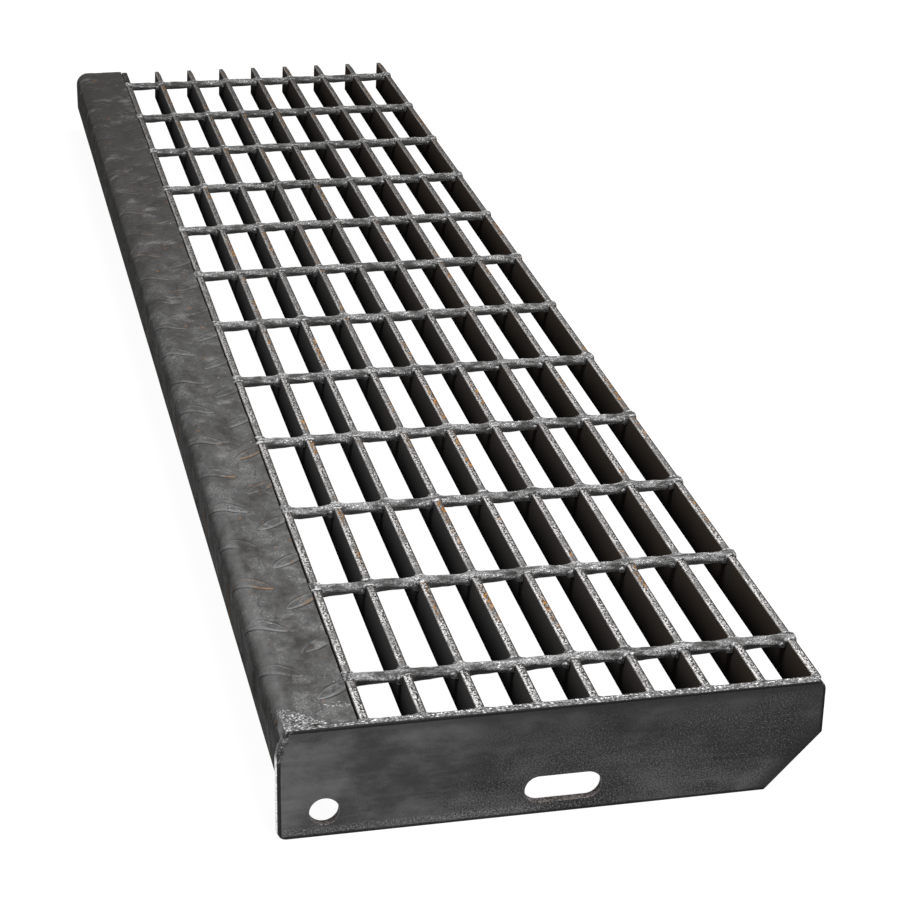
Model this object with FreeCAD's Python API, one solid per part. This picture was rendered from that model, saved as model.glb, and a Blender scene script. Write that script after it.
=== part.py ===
"""Bar grating stair tread in bare mill steel, with a folded checkered nosing and one end plate.

Millimetres. X runs along the tread towards the end plate, Y from the nosing to the back, Z up.
The origin is at the middle of the tread, level with the lower edge of the end plate.
"""
import FreeCAD
import Part
import math
import os

Vector = FreeCAD.Vector

# Bearing bars: flat bars on edge, side by side across the tread
bar_count = 9
bar_pitch = 30.1625
bar_thickness = 4.7625
bar_depth = 25.4

# Cross rods: square rods, twisted by whole quarter turns from bar to bar and forged into the bar tops
rod_count = 12
rod_pitch = 101.6
rod_side = 6.0
rod_proud = 0.35
rod_tip = 1.2
rod_quarter_turns = 1
rod_twist_steps = 4

# Lengths of bar left past the first and the last rod
far_stub = 40.5
near_stub = 45.3

# Nosing: checkered plate folded to an angle, its top leg beside the first bar
nosing_width = 41.9
nosing_drop = 33.0
nosing_thickness = 4.76
nosing_bend = 10.5
nosing_reach = 2.9
nosing_gap_near = 1.1
nosing_gap_far = 0.4

# Raised lens-shaped lugs of the checkered plate, in rows that lean opposite ways
lug_pitch = 49.8
lug_length = 27.0
lug_breadth = 8.5
lug_height = 0.9
lug_lean = 50.0
lug_facets = 3
lug_first = 33.2
lug_inset = 7.1
lug_row_spacing = 24.0
lug_front_drop = 20.9

# End plate: flat bar across the near ends, bolted to the stringer through a hole and a slot
plate_thickness = 4.76
plate_depth = 63.5
plate_lead = 1.9
plate_overhang = 1.2
plate_corner = 5.5
plate_trim_back = 4.9
plate_trim_drop = 15.3
plate_chamfer_back = 30.0
plate_chamfer_rise = 32.5
bolt_hole_diameter = 15.9
bolt_hole_setback = 24.8
bolt_line_rise = 14.7
bolt_spacing = 125.7
slot_length = 41.6
slot_width = 15.9

# Welds
fillet_leg = 3.0
fillet_run = 18.0
corner_bead_width = 8.0
corner_bead_crown = 3.0
corner_bead_height = 1.7
corner_bead_drop = 27.0
corner_fill_run = 24.0
tack_radius = 3.6
tack_crown = 1.8
tack_height = 1.2

# Places along X
rods_span = (rod_count - 1) * rod_pitch
overall_length = nosing_reach + far_stub + rods_span + near_stub + plate_thickness
x_nosing_far = -overall_length / 2
x_bar_far = x_nosing_far + nosing_reach
x_first_rod = x_bar_far + far_stub
x_plate = x_first_rod + rods_span + near_stub
rod_places = [x_first_rod + number * rod_pitch for number in range(rod_count)]

# Places along Y
front_relief = max(lug_height, corner_bead_height, plate_lead)
bars_span = (bar_count - 1) * bar_pitch
back_relief = max(rod_tip, plate_overhang)
overall_width = front_relief + nosing_width + bars_span + bar_thickness + back_relief
y_front = front_relief - overall_width / 2
y_plate_front = y_front - plate_lead
y_bars = y_front + nosing_width
y_back = y_bars + bars_span + bar_thickness
y_plate_back = y_back + plate_overhang
bar_places = [y_bars + number * bar_pitch for number in range(bar_count)]

# Heights
z_top = plate_depth
z_rod = z_top + rod_proud - rod_side / 2
z_bolt = bolt_line_rise
nosing_length = x_plate - x_nosing_far


def polygon_face(points):
    """A flat face inside a closed row of points."""
    return Part.Face(Part.makePolygon(points + points[:1]))


def bearing_bar(y):
    """A flat bar on edge, notched along its top for the rods."""
    notch_floor = z_rod - rod_side / 2
    outline = [Vector(x_bar_far, y, z_top - bar_depth), Vector(x_bar_far, y, z_top)]
    for x in rod_places:
        left, right = x - rod_side / 2, x + rod_side / 2
        outline += [Vector(left, y, z_top), Vector(left, y, notch_floor)]
        outline += [Vector(right, y, notch_floor), Vector(right, y, z_top)]
    outline += [Vector(x_plate, y, z_top), Vector(x_plate, y, z_top - bar_depth)]
    return polygon_face(outline).extrude(Vector(0, bar_thickness, 0))


def rod_stations():
    """Places along a rod, each with its turn: square in every notch, twisting in every bay."""
    stations = []
    bay = bar_pitch - bar_thickness
    twist = 90 * rod_quarter_turns
    for number, y in enumerate(bar_places):
        turn = number * twist
        stations += [(y, turn), (y + bar_thickness, turn)]
        if number < bar_count - 1:
            for step in range(1, rod_twist_steps):
                share = step / rod_twist_steps
                stations.append((y + bar_thickness + share * bay, turn + share * twist))
    stations.append((y_back + rod_tip, stations[-1][1]))
    return stations


def rod_ring(x, y, turn):
    """The four corners of the rod's square section."""
    reach = rod_side / math.sqrt(2)
    angles = [math.radians(turn + 45 + 90 * corner) for corner in range(4)]
    return [Vector(x + reach * math.sin(a), y, z_rod + reach * math.cos(a)) for a in angles]


def cross_rod(x):
    """A twisted square rod, made of flat facets between its sections."""
    stations = rod_stations()
    rings = [rod_ring(x, y, turn) for y, turn in stations]
    faces = [polygon_face(rings[0][::-1]), polygon_face(rings[-1])]
    for index in range(len(rings) - 1):
        ring, following = rings[index], rings[index + 1]
        straight = stations[index][1] == stations[index + 1][1]
        for corner in range(4):
            a, b = ring[corner], ring[corner - 3]
            c, d = following[corner - 3], following[corner]
            if straight:
                faces.append(polygon_face([a, b, c, d]))
            else:
                faces += [polygon_face([a, b, d]), polygon_face([b, c, d])]
    return Part.Solid(Part.Shell(faces))


def folded_strip(outer, inner):
    """The angle's section between two offsets from its outer surface, run the nosing's length."""
    x = x_nosing_far
    y_bend = y_front + nosing_bend
    z_bend = z_top - nosing_bend
    z_foot = z_top - nosing_drop
    diagonal = math.sqrt(0.5)

    def bend_arc(radius):
        start = Vector(x, y_bend - radius, z_bend)
        middle = Vector(x, y_bend - radius * diagonal, z_bend + radius * diagonal)
        return Part.Arc(start, middle, Vector(x, y_bend, z_bend + radius)).toShape()

    outer_radius, inner_radius = nosing_bend + outer, nosing_bend + inner
    foot_out = Vector(x, y_bend - outer_radius, z_foot)
    foot_in = Vector(x, y_bend - inner_radius, z_foot)
    lip_out = Vector(x, y_bars, z_bend + outer_radius)
    lip_in = Vector(x, y_bars, z_bend + inner_radius)
    edges = [
        Part.makeLine(foot_out, Vector(x, y_bend - outer_radius, z_bend)),
        bend_arc(outer_radius),
        Part.makeLine(Vector(x, y_bend, z_bend + outer_radius), lip_out),
        Part.makeLine(lip_out, lip_in),
        Part.makeLine(lip_in, Vector(x, y_bend, z_bend + inner_radius)),
        bend_arc(inner_radius),
        Part.makeLine(Vector(x, y_bend - inner_radius, z_bend), foot_in),
        Part.makeLine(foot_in, foot_out),
    ]
    return Part.Face(Part.Wire(Part.__sortEdges__(edges))).extrude(Vector(nosing_length, 0, 0))


def lug_face(lean):
    """A lens on the XY plane, leaning from the X axis, its two arcs in a few straight facets."""
    half = lug_length / 2
    sag = lug_breadth / 2
    radius = (half ** 2 + sag ** 2) / (2 * sag)
    spread = math.asin(half / radius)
    outline = []
    for side in (1, -1):
        for step in range(lug_facets):
            angle = side * spread * (1 - 2 * step / lug_facets)
            across = radius * math.cos(angle) - radius + sag
            outline.append(Vector(radius * math.sin(angle), side * across, 0))
    lens = polygon_face(outline)
    lens.rotate(Vector(0, 0, 0), Vector(0, 0, 1), lean)
    return lens


def lug_prisms():
    """Straight lens prisms through the skin: two rows on the top leg, one on the front leg."""
    depth = nosing_bend + lug_height
    z_low = z_top - nosing_bend
    y_row = y_bars - lug_inset
    prisms = []
    for number in range(int(nosing_length / lug_pitch) + 1):
        x = x_plate - lug_first - number * lug_pitch
        back_lens = lug_face(-lug_lean)
        back_lens.translate(Vector(x, y_row, z_low))
        middle_lens = lug_face(lug_lean)
        middle_lens.translate(Vector(x + lug_pitch / 2, y_row - lug_row_spacing, z_low))
        front_lens = lug_face(-lug_lean)
        front_lens.rotate(Vector(0, 0, 0), Vector(1, 0, 0), 90)
        front_lens.translate(Vector(x, y_front - lug_height, z_top - lug_front_drop))
        prisms += [lens.extrude(Vector(0, 0, depth)) for lens in (back_lens, middle_lens)]
        prisms.append(front_lens.extrude(Vector(0, depth, 0)))
    return prisms


def nosing():
    """The folded checkered plate, its top leg trimmed to a gap that closes towards the far end."""
    skin = folded_strip(lug_height, -nosing_thickness / 2)
    lugs = [prism.common(skin) for prism in lug_prisms()]
    lugs = [lug for lug in lugs if lug.Volume > 0]
    folded = folded_strip(0, -nosing_thickness).multiFuse(lugs).removeSplitter()
    x_end = x_nosing_far + nosing_length
    z_low = z_top - nosing_bend
    trim = polygon_face([
        Vector(x_nosing_far, y_bars - nosing_gap_far, z_low),
        Vector(x_end, y_bars - nosing_gap_near, z_low),
        Vector(x_end, y_bars + bar_thickness, z_low),
        Vector(x_nosing_far, y_bars + bar_thickness, z_low),
    ])
    return folded.cut(trim.extrude(Vector(0, 0, nosing_bend + lug_height))).Solids[0]


def end_plate():
    """A flat bar, trimmed at its front top corner, round at two corners and cut off at the fourth."""
    diagonal = 1 - math.sqrt(0.5)
    x, y, corner = x_plate, y_plate_front, plate_corner
    back_points = [
        Vector(x, y_plate_back - corner, z_top),
        Vector(x, y_plate_back - corner * diagonal, z_top - corner * diagonal),
        Vector(x, y_plate_back, z_top - corner),
    ]
    corner_points = [
        Vector(x, y + corner, 0),
        Vector(x, y + corner * diagonal, corner * diagonal),
        Vector(x, y, corner),
    ]
    trim_top = Vector(x, y + plate_trim_back, z_top)
    trim_foot = Vector(x, y, z_top - plate_trim_drop)
    chamfer_top = Vector(x, y_plate_back, plate_chamfer_rise)
    chamfer_foot = Vector(x, y_plate_back - plate_chamfer_back, 0)
    edges = [
        Part.makeLine(trim_foot, trim_top),
        Part.makeLine(trim_top, back_points[0]),
        Part.Arc(*back_points).toShape(),
        Part.makeLine(back_points[2], chamfer_top),
        Part.makeLine(chamfer_top, chamfer_foot),
        Part.makeLine(chamfer_foot, corner_points[0]),
        Part.Arc(*corner_points).toShape(),
        Part.makeLine(corner_points[2], trim_foot),
    ]
    through = Vector(plate_thickness, 0, 0)
    blank = Part.Face(Part.Wire(edges)).extrude(through)

    y_hole = y_plate_front + bolt_hole_setback
    y_slot = y_hole + bolt_spacing
    hole = Part.makeCylinder(
        bolt_hole_diameter / 2, plate_thickness, Vector(x_plate, y_hole, z_bolt), Vector(1, 0, 0))
    straight = slot_length - slot_width
    slot_ends = [
        Part.makeCylinder(slot_width / 2, plate_thickness, Vector(x_plate, y, z_bolt), Vector(1, 0, 0))
        for y in (y_slot - straight / 2, y_slot + straight / 2)
    ]
    slot_middle = Part.makeBox(
        plate_thickness, straight, slot_width,
        Vector(x_plate, y_slot - straight / 2, z_bolt - slot_width / 2))
    slot = slot_middle.multiFuse(slot_ends).removeSplitter()
    return blank.cut(hole).cut(slot).Solids[0]


def bar_end_welds():
    """Fillets down the sides of each bar where it meets the plate, inside the row of bars."""
    down = Vector(0, 0, -fillet_run)
    fillets = []
    for y, following in zip(bar_places, bar_places[1:]):
        for side, leg in ((y + bar_thickness, fillet_leg), (following, -fillet_leg)):
            corner = Vector(x_plate, side, z_top)
            along = Vector(x_plate - fillet_leg, side, z_top)
            across = Vector(x_plate, side + leg, z_top)
            fillets.append(polygon_face([corner, along, across]).extrude(down))
    return Part.makeCompound(fillets)


def corner_fill():
    """Weld between the nosing's bend and the plate's trimmed corner, running out along the bend."""
    x, radius = x_plate, nosing_bend
    sunk = radius - nosing_thickness / 2
    bend = Vector(x, y_front + radius, z_top - radius)
    ridge_back = plate_trim_back - plate_lead
    ridge_drop = plate_trim_drop * ridge_back / plate_trim_back
    ridge_top = Vector(x, y_front + ridge_back, z_top)
    fill = polygon_face([
        ridge_top,
        Vector(x, y_front, z_top - ridge_drop),
        bend + Vector(0, -radius, 0),
        bend + Vector(0, -sunk, 0),
        bend + Vector(0, -sunk, sunk) * math.sqrt(0.5),
        bend + Vector(0, 0, sunk),
        bend + Vector(0, 0, radius),
    ]).extrude(Vector(-corner_fill_run, 0, 0))
    # Two flats slope from the ridge at the plate down to the skin
    for angle in (math.radians(45), math.radians(67.5)):
        out = Vector(0, -math.cos(angle), math.sin(angle))
        along = Vector(0, math.sin(angle), math.cos(angle))
        skin = bend + out * radius
        ridge = skin + out * (ridge_top - skin).dot(out)
        run_out = skin + Vector(-corner_fill_run, 0, 0)
        shaving = polygon_face([run_out, ridge, ridge + out * radius, run_out + out * radius])
        shaving.translate(along * -radius)
        fill = fill.cut(shaving.extrude(along * (2 * radius)))
    return fill


def corner_weld():
    """The filled corner, ground level with the top, and a bead round the bend and down the front seam."""
    x, height, sunk = x_plate, corner_bead_height, nosing_thickness / 2
    half, crown = corner_bead_width / 2, corner_bead_crown / 2
    y_bend = y_front + nosing_bend
    z_bend = z_top - nosing_bend
    section = polygon_face([
        Vector(x - half, 0, -sunk),
        Vector(x - half, 0, 0),
        Vector(x - crown, 0, height),
        Vector(x + crown, 0, height),
        Vector(x + half, 0, 0),
        Vector(x + half, 0, -sunk),
    ])

    on_top = section.copy()
    on_top.translate(Vector(0, y_bend, z_top))
    bend_run = on_top.revolve(Vector(x, y_bend, z_bend), Vector(1, 0, 0), 90)
    in_front = section.copy()
    in_front.rotate(Vector(x, 0, 0), Vector(1, 0, 0), 90)
    in_front.translate(Vector(0, y_front, z_bend))
    front_run = in_front.extrude(Vector(0, 0, nosing_bend - corner_bead_drop))
    weld = corner_fill().multiFuse([bend_run, front_run]).removeSplitter()
    ground_off = Part.makeBox(
        corner_fill_run + corner_bead_width, 2 * nosing_bend, nosing_bend,
        Vector(x - corner_fill_run, y_front - nosing_bend / 2, z_top))
    return weld.cut(ground_off).cut(nosing_solid).cut(plate_solid).Solids[0]


def tack_ring(seat, radius):
    """Half of a six-sided ring in front of a seat, closed along the face of the first bar."""
    angles = [math.radians(180 + 60 * corner) for corner in range(4)]
    points = [seat + Vector(radius * math.cos(a), radius * math.sin(a), 0) for a in angles]
    return Part.makePolygon(points + points[:1])


def tack_welds():
    """A low dab over the seam in front of each rod, flush with the face of the first bar."""
    dabs = []
    for x in rod_places:
        foot = tack_ring(Vector(x, y_bars, z_top), tack_radius)
        crown = tack_ring(Vector(x, y_bars, z_top + tack_height), tack_crown)
        dab = Part.makeLoft([foot, crown], True, True)
        dabs.append(dab.cut(nosing_solid).Solids[0])
    return Part.makeCompound(dabs)


nosing_solid = nosing()
plate_solid = end_plate()
nodes = {"nosing": nosing_solid, "end_plate": plate_solid}
for number, y in enumerate(bar_places, start=1):
    nodes[f"bearing_bar_{number}"] = bearing_bar(y)
for number, x in enumerate(rod_places, start=1):
    nodes[f"cross_rod_{number:02d}"] = cross_rod(x)
nodes["bar_end_welds"] = bar_end_welds()
nodes["corner_weld"] = corner_weld()
nodes["tack_welds"] = tack_welds()

os.makedirs("parts", exist_ok=True)
for name, shape in nodes.items():
    shape.exportStep(f"parts/{name}.step")
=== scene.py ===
import math
import random

import bmesh
import bpy
from mathutils import Matrix, Vector, noise


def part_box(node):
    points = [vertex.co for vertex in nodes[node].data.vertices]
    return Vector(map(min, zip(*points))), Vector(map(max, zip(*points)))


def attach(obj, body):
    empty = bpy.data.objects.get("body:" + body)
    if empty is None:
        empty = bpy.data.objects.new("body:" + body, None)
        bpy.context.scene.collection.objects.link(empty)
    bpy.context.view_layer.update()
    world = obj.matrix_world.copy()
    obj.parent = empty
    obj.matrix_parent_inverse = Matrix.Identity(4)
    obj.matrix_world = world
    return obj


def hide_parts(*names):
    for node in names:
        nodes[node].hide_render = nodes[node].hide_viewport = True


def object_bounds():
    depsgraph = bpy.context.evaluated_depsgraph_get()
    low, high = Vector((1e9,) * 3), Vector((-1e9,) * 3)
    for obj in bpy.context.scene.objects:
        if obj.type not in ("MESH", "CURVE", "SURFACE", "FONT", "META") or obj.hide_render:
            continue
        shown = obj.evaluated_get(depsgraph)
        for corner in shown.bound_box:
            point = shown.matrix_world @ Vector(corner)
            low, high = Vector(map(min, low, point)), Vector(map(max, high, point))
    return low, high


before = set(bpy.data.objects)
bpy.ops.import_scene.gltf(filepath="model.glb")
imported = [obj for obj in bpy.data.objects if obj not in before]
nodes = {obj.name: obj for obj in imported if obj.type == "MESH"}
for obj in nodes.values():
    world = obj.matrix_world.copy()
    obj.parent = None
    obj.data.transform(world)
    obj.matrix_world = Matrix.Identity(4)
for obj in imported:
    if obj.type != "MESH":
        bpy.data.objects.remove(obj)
cad_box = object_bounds()

# Bearing bars
# Nine flat bars of hot-rolled steel set on edge and notched along the top for the rods. Their sides keep
# a near-black mill scale, painted darker towards the foot as shade and with a painted highlight under each
# crossing; the tops are rubbed bright, brighter towards the near end as painted light falloff, behind a
# front arris painted dark as shade and a strip painted bright as a highlight, with pits and rust.
bar_names = [f"bearing_bar_{number}" for number in range(1, 10)]
rod_names = [f"cross_rod_{number:02d}" for number in range(1, 13)]
bar_boxes = [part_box(name) for name in bar_names]
rod_boxes = [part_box(name) for name in rod_names]
bar_middles = [(low.y + high.y) / 2 for low, high in bar_boxes]
rod_middles = [(low.x + high.x) / 2 for low, high in rod_boxes]
bar_pitch = bar_middles[1] - bar_middles[0]
rod_pitch = rod_middles[1] - rod_middles[0]
bar_low, bar_high = bar_boxes[0]
bar_thickness = bar_high.y - bar_low.y
bar_depth = bar_high.z - bar_low.z
tread_top = bar_high.z
bar_edge = 0.0005
tip_length = 0.014
tip_zone = 0.002
tip_share = 0.72
tip_drop = 0.0003
heated_stretch = (-0.010, -0.004)
bulge_highlight_stretch = (0.000, 0.008)
bright_strip = (-0.0011, -0.0005)
dark_groove = (0.0012, 0.0017)
pit_depth = 0.0005
rust_stops = (0.48, 0.55)
rust_thins = (-0.02, 0.06)
dark_far_end = (-0.566, -0.555)


class Tone:
    """A shader socket. Sums and products of tones add Math nodes to their finish."""

    def __init__(self, shading, socket):
        self.shading = shading
        self.socket = socket

    def math(self, operation, first, second):
        return self.shading.add("ShaderNodeMath", {"operation": operation}, {0: first, 1: second})

    def __add__(self, other):
        return self.math("ADD", self, other)

    __radd__ = __add__

    def __sub__(self, other):
        return self.math("SUBTRACT", self, other)

    def __rsub__(self, other):
        return self.math("SUBTRACT", other, self)

    def __mul__(self, other):
        return self.math("MULTIPLY", self, other)

    __rmul__ = __mul__


class Shading:
    """The nodes of one material or of the world."""

    def __init__(self, tree):
        self.tree = tree

    def feed(self, node, sockets):
        for key, value in sockets.items():
            if isinstance(value, Tone):
                self.tree.links.new(value.socket, node.inputs[key])
            else:
                node.inputs[key].default_value = value

    def add(self, kind, settings=None, sockets=None, output=0):
        node = self.tree.nodes.new(kind)
        for name, value in (settings or {}).items():
            setattr(node, name, value)
        self.feed(node, sockets or {})
        return Tone(self, node.outputs[output])


class Finish(Shading):
    """A steel finish: one Principled shader, with the place and the normal on the piece."""

    def __init__(self, name, specular):
        self.material = bpy.data.materials.new(name)
        self.material.use_nodes = True
        super().__init__(self.material.node_tree)
        self.shader = self.tree.nodes["Principled BSDF"]
        self.shader.inputs["Specular IOR Level"].default_value = specular
        self.place = self.add("ShaderNodeTexCoord", output="Object")
        self.normal = self.add("ShaderNodeTexCoord", output="Normal")

    def axis(self, vector, name):
        return self.add("ShaderNodeSeparateXYZ", None, {0: vector}, name)

    def wrap(self, value, pitch):
        """Distance from the nearest of a row of places that lie a pitch apart."""
        return self.add("ShaderNodeMath", {"operation": "WRAP"}, {0: value, 1: pitch / 2, 2: -pitch / 2})

    def grain(self, scale, detail=2.0, stretch=(1.0, 1.0, 1.0), rough=0.5):
        """Noise with features of 1/scale metres, drawn out where stretch is under 1."""
        spread = self.add("ShaderNodeMapping", None, {"Vector": self.place, "Scale": stretch})
        sockets = {"Vector": spread, "Scale": scale, "Detail": detail, "Roughness": rough}
        return self.add("ShaderNodeTexNoise", None, sockets)

    def step(self, value, low, high):
        """0 below low, 1 above high and smooth between."""
        sockets = {"Value": value, "From Min": low, "From Max": high}
        return self.add("ShaderNodeMapRange", {"interpolation_type": "SMOOTHSTEP"}, sockets)

    def band(self, value, low, high, soft):
        """1 between low and high, falling smoothly to 0 outside."""
        return self.step(value, low - soft, low) * (1 - self.step(value, high, high + soft))

    def blend(self, share, first, second):
        """A colour between two colours."""
        colours = [c if isinstance(c, Tone) else (*c, 1.0) for c in (first, second)]
        return self.add("ShaderNodeMix", {"data_type": "RGBA"}, {0: share, 6: colours[0], 7: colours[1]}, 2)

    def ground(self):
        """The colour of steel ground bare: grey, with bright flecks and dark pits."""
        flecks = self.grain(950, detail=4, stretch=(1, 0.7, 1), rough=0.7)
        colour = self.blend(self.step(flecks, 0.38, 0.50), (0.020, 0.020, 0.020), (0.14, 0.14, 0.14))
        return self.blend(self.step(flecks, 0.53, 0.64), colour, (0.70, 0.70, 0.70))

    def bump(self, height, depth):
        """A bumped normal, with depth in metres for a height of 1."""
        return self.add("ShaderNodeBump", None, {"Height": height, "Distance": depth})

    def end(self, colour, roughness, metallic, normal):
        self.feed(self.shader, {"Base Color": colour, "Roughness": roughness,
                                "Metallic": metallic, "Normal": normal})
        return self.material


def softened_copy(node_name, edge, segments=2, chosen=None):
    """A copy of a solid's mesh, its triangles merged to whole faces and its chosen sharp edges rounded."""
    mesh = bmesh.new()
    mesh.from_mesh(nodes[node_name].data)
    bmesh.ops.remove_doubles(mesh, verts=mesh.verts, dist=1e-6)
    bmesh.ops.dissolve_limit(mesh, angle_limit=math.radians(1), verts=mesh.verts, edges=mesh.edges)
    sharp = [e for e in mesh.edges if e.is_manifold and e.calc_face_angle() > math.radians(30)]
    if chosen:
        sharp = [e for e in sharp if chosen((e.verts[0].co + e.verts[1].co) / 2)]
    bmesh.ops.bevel(mesh, geom=sharp, offset=edge, offset_type="OFFSET", affect="EDGES",
                    segments=segments, profile=0.5, material=-1, clamp_overlap=True)
    return mesh


def finished(name, mesh, finish, slot_name, *replaced, smooth=None):
    """A mesh made into a piece of the tread, in place of the solids that it stands for."""
    data = bpy.data.meshes.new(name)
    mesh.to_mesh(data)
    mesh.free()
    data.materials.append(finish)
    if smooth:
        data.shade_smooth()
        data.set_sharp_from_angle(angle=math.radians(smooth))
    piece = bpy.data.objects.new(name, data)
    bpy.context.scene.collection.objects.link(piece)
    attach(piece, "root")
    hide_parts(*replaced)


def bar_finish():
    finish = Finish("bar_scale_and_bright_top", specular=0.0)
    x, y, z = (finish.axis(finish.place, name) for name in "XYZ")
    across = finish.wrap(y - bar_middles[0], bar_pitch)
    along = finish.wrap(x - rod_middles[0], rod_pitch)
    nearness = finish.step(x, bar_low.x, bar_high.x)
    facing_up = finish.step(finish.axis(finish.normal, "Z"), 0.3, 0.8)
    top = facing_up * finish.step(z, tread_top - 2 * bar_edge, tread_top - bar_edge)

    pits = finish.grain(900, detail=4, stretch=(0.7, 1, 1), rough=0.75)
    stretches = finish.grain(60, detail=3)
    heated = finish.band(along, *heated_stretch, 0.004)
    dulled = 1 - (1 - 0.85 * heated) * (1 - 0.7 * finish.step(stretches, 0.46, 0.62))
    # Painted highlight: bright specks crowd into a strip along the front of each top, where the arris
    # catches the light.
    strip = 1 - finish.step(across + 0.0016 * (pits - 0.5), *bright_strip)
    bright = finish.step(pits + 0.07 * strip - 0.01, 0.47, 0.57) * (1 - 0.8 * dulled)
    # The rubbed specks are painted brighter towards the near end: painted light falloff.
    rubbed_and_lit_colour = finish.blend(nearness, (0.24, 0.23, 0.22), (0.68, 0.67, 0.66))
    pit_colour = (0.036, 0.033, 0.030)
    plain_colour = finish.blend(dulled, pit_colour, (0.120, 0.116, 0.113))
    rubbed = finish.blend(bright, plain_colour, rubbed_and_lit_colour)
    groove = finish.step(across + 0.0012 * (pits - 0.5), *dark_groove)
    rubbed = finish.blend(0.8 * groove, rubbed, (0.030, 0.028, 0.026))
    streaks = finish.grain(560, detail=3, stretch=(0.5, 1, 1))
    behind_first = finish.step(y, bar_middles[0], bar_middles[1])
    sheltered = behind_first * (1 - finish.step(x, *rust_stops))
    patches = finish.step(finish.grain(17, detail=2) - 0.04 * finish.step(y, *rust_thins), 0.49, 0.58)
    patches = patches * sheltered * (1 - strip) * (1 - 0.7 * heated)
    rust = patches * finish.step(streaks, 0.44, 0.58)
    rust_colour = finish.blend(finish.step(streaks, 0.52, 0.66), (0.090, 0.042, 0.020), (0.42, 0.205, 0.050))
    top_colour = finish.blend(rust * (0.55 + 0.35 * nearness), rubbed, rust_colour)
    far_corner = (1 - finish.step(x, *dark_far_end)) * (1 - behind_first)
    top_colour = finish.blend(0.92 * far_corner, top_colour, (0.040, 0.038, 0.036))
    # Painted shade: the rounded front arris of each top is painted dark.
    front_face = -bar_thickness / 2
    front_arris = 1 - finish.step(across, front_face + bar_edge / 4, front_face + 1.6 * bar_edge)
    top_colour = finish.blend(0.85 * front_arris, top_colour, pit_colour)

    drift = finish.grain(14, detail=3)
    brown = finish.step(y + 0.12 * drift, 0.0, 0.19)
    # Painted shade: the sides are painted darker towards the foot, where shade falls between the bars, so
    # scale_colour is the mill scale with this painted shade.
    depth = finish.step(z + 0.010 * (drift - 0.5), tread_top - bar_depth, tread_top + 0.004)
    upper_colour = finish.blend(brown, (0.110, 0.109, 0.109), (0.088, 0.068, 0.053))
    scale_colour = finish.blend(depth, (0.011, 0.011, 0.011), upper_colour)
    # Painted highlight: a lighter streak down each bar's side under a crossing, standing in for light on the
    # squeezed bulge there.
    bulge_highlight = finish.band(along, *bulge_highlight_stretch, 0.008) * finish.step(drift, 0.35, 0.60)
    scale_colour = finish.blend(0.5 * bulge_highlight * depth, scale_colour, (0.060, 0.060, 0.060))
    # worn_and_lit: the rubbed bright specks of the top, with the painted highlight strip among them.
    worn_and_lit = top * bright * (1 - rust) * (1 - front_arris)
    return finish.end(
        finish.blend(top, scale_colour, top_colour),
        0.85 - 0.47 * worn_and_lit,
        0.7 * worn_and_lit,
        finish.bump(pits * (0.25 + 0.75 * top), pit_depth),
    )


def pinch_tip(mesh):
    """The far end of a bar's top worn to a blunt point."""
    sides = [vert.co.y for vert in mesh.verts]
    middle = (min(sides) + max(sides)) / 2
    cut = [*mesh.verts, *mesh.edges, *mesh.faces]
    bmesh.ops.bisect_plane(mesh, geom=cut, plane_co=(bar_low.x + tip_length, 0, 0), plane_no=(1, 0, 0))
    for vert in mesh.verts:
        if vert.co.x < bar_low.x + tip_zone and vert.co.z > tread_top - tip_zone:
            vert.co.y = middle + (vert.co.y - middle) * tip_share
            vert.co.z -= tip_drop


bar_steel = bar_finish()
for name in bar_names:
    bar_mesh = softened_copy(name, bar_edge)
    if name != bar_names[0]:
        pinch_tip(bar_mesh)
    finished(f"{name}_looks", bar_mesh, bar_steel, "bar_steel", name)

# Cross rods
# Twelve square rods with rounded corners, twisted a quarter turn from bar to bar and pressed hot into
# the bar tops, which flattens and spreads them there. They are grey and hammered, with a dull sheen;
# their undersides are painted dark as shade, their tops painted lighter towards the near end as light
# falloff, with white flecks painted as glints.
rod_radius = 0.00326
rod_squareness = 0.075
rod_sides = 24
rod_lifts = (0, 0, 0, 0.0001, 0.0004, 0.0004, 0, 0, -0.0001, -0.0005, 0.0003, 0.0003)
bay_steps = 22
seat_steps = 4
seat_reach = 0.0050
web_near = 0.35
web_far = 0.85
seat_proud = 0.0004
hammering = 0.00028
hammer_scale = 170
waviness = 0.0006
wave_scale = 24
rod_relief = 0.0016


def rod_stations(tip):
    """Places along a rod with their turn, square over each bar and twisting between."""
    stations = []
    half = bar_thickness / 2
    for number, middle in enumerate(bar_middles):
        turn = number * math.pi / 2
        for step in range(seat_steps + 1):
            stations.append((middle + half * (2 * step / seat_steps - 1), turn))
        if number < len(bar_middles) - 1:
            bay = bar_pitch - bar_thickness
            for step in range(1, bay_steps):
                share = step / bay_steps
                stations.append((middle + half + share * bay, turn + share * math.pi / 2))
    stations.append((tip, stations[-1][1]))
    return stations


def seat_share(y):
    """1 over a bar, falling to 0 a little way into the bay."""
    nearest = min(abs(y - middle) for middle in bar_middles)
    return max(0.0, 1 - max(0.0, nearest - bar_thickness / 2) / seat_reach)


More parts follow.
